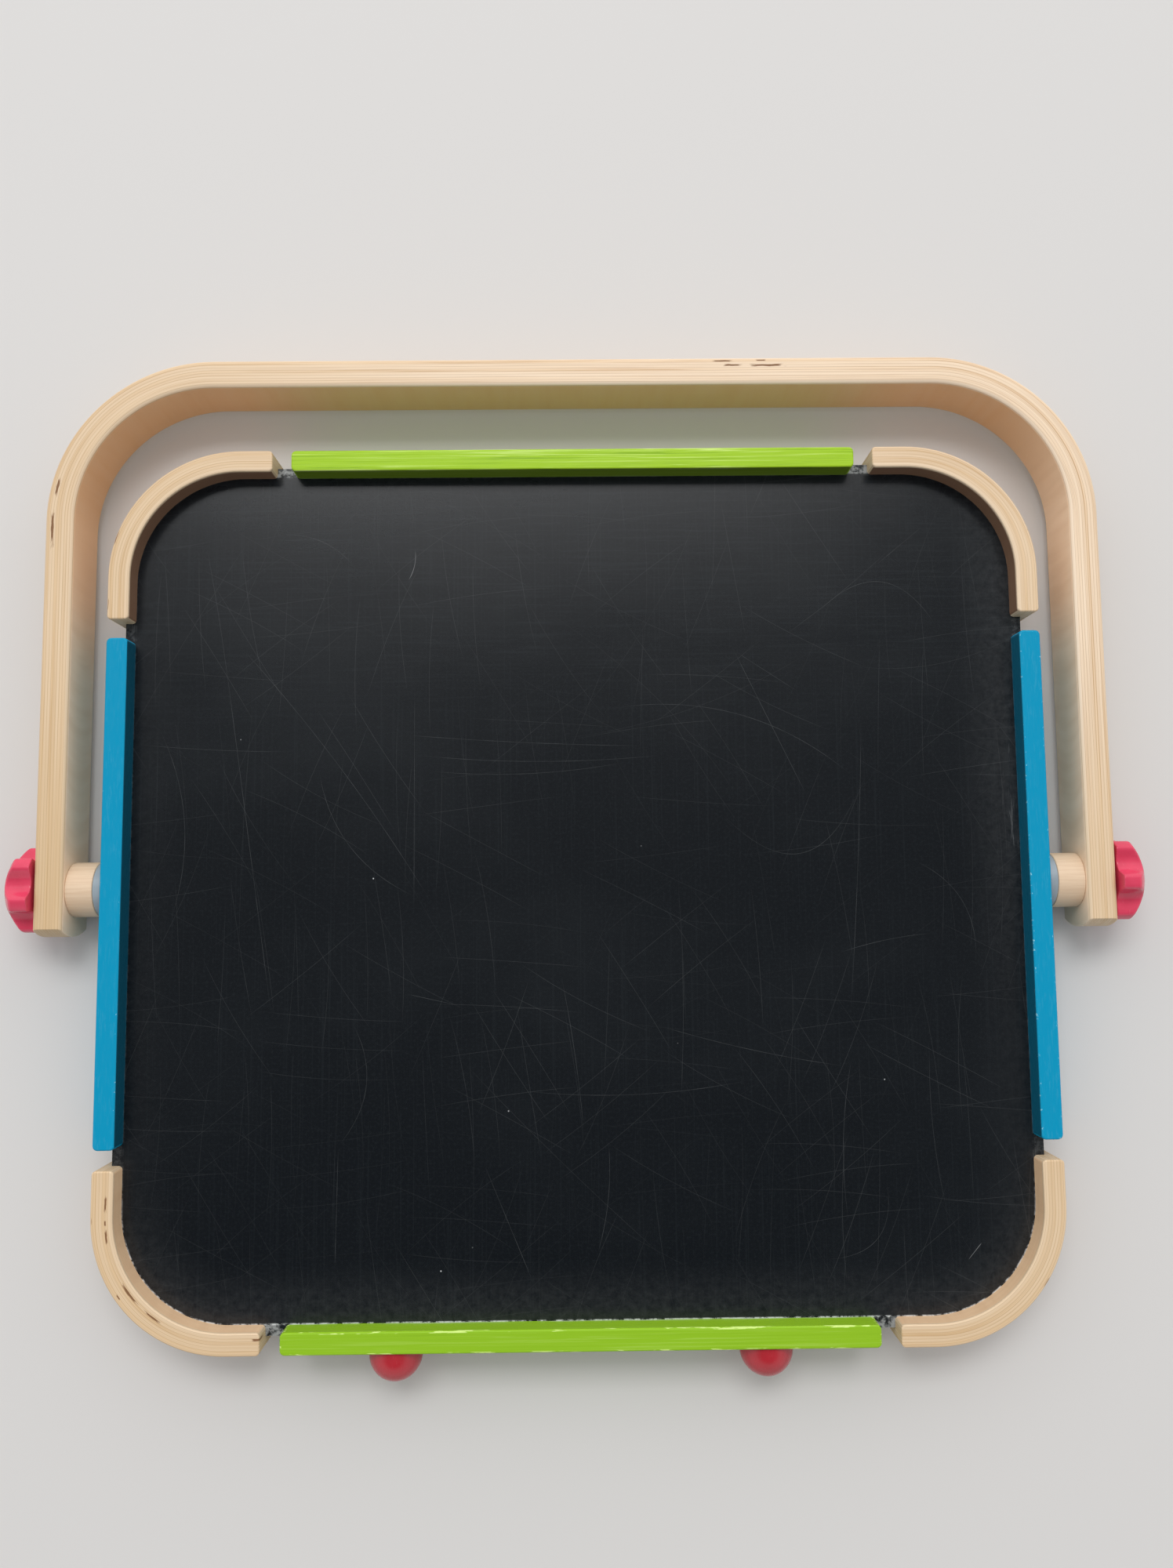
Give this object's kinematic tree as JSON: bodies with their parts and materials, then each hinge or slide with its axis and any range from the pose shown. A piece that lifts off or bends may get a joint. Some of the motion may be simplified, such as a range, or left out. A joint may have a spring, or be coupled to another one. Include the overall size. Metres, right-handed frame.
{
  "type": "kids tabletop easel",
  "caption": "Tabletop easel for a child: a framed chalkboard with rounded corners, swinging in a bent plywood stand that doubles as its handle, clamped by star knobs.",
  "frame": {"origin": "centre of the bounding box in X and Y, on the surface that the knobs rest on", "axes": "+X across the board to the right as the chalkboard is read, +Y up the board towards the stand's crossbar, +Z out of the chalkboard; the stand is folded in plane round the top of the board"},
  "size_m": [0.4802, 0.4282, 0.036],
  "materials": {
    "birch_ply": "clear satin lacquer on bent birch plywood",
    "spacer_wood": "fine sanded pale wood",
    "green_paint": "satin green paint on wood",
    "blue_paint": "satin blue paint on wood",
    "chalkboard": "matt black chalkboard paint on hardboard",
    "white_enamel": "gloss white enamel on thin steel",
    "red_plastic": "moulded gloss red plastic",
    "grey_plastic": "moulded matt grey plastic",
    "plated_steel": "zinc plated steel",
    "insert_brass": "machined brass"
  },
  "bodies": {
    "board": {"chalkboard_panel": "chalkboard", "whiteboard_sheet": "white_enamel", "top_bar": "green_paint", "bottom_bar": "green_paint", "left_bar": "blue_paint", "right_bar": "blue_paint", "corner_top_left": "birch_ply", "corner_top_right": "birch_ply", "corner_bottom_left": "birch_ply", "corner_bottom_right": "birch_ply", "foot_left": "red_plastic", "foot_right": "red_plastic", "friction_washer_left": "grey_plastic", "friction_washer_right": "grey_plastic", "threaded_insert_left": "insert_brass", "threaded_insert_right": "insert_brass"},
    "swing_stand": {"stand": "birch_ply", "spacer_left": "spacer_wood", "spacer_right": "spacer_wood"},
    "left_washer": {"knob_washer_left": "plated_steel"},
    "left_knob": {"knob_left": "red_plastic", "stud_left": "plated_steel"},
    "right_washer": {"knob_washer_right": "plated_steel"},
    "right_knob": {"knob_right": "red_plastic", "stud_right": "plated_steel"}
  },
  "joints": [
    {"name": "stand_swing", "type": "hinge", "parent": "board", "child": "swing_stand", "pos_m": [0, -0.01285, 0.018], "axis": [1, 0, 0], "continuous": true},
    {"name": "left_knob_travel", "type": "slide", "parent": "board", "child": "left_washer", "axis": [-1, 0, 0], "range_m": [0, 0.006]},
    {"name": "left_knob_turn", "type": "hinge", "parent": "left_washer", "child": "left_knob", "pos_m": [0, -0.01285, 0.018], "axis": [-1, 0, 0], "range_deg": [0, 2160]},
    {"name": "right_knob_travel", "type": "slide", "parent": "board", "child": "right_washer", "axis": [1, 0, 0], "range_m": [0, 0.006]},
    {"name": "right_knob_turn", "type": "hinge", "parent": "right_washer", "child": "right_knob", "pos_m": [0, -0.01285, 0.018], "axis": [1, 0, 0], "range_deg": [0, 2160]}
  ],
  "couplings": [
    {"joint": "left_knob_turn", "follows": "left_knob_travel", "rad_per_m": 6283.2},
    {"joint": "right_knob_turn", "follows": "right_knob_travel", "rad_per_m": 6283.2}
  ]
}
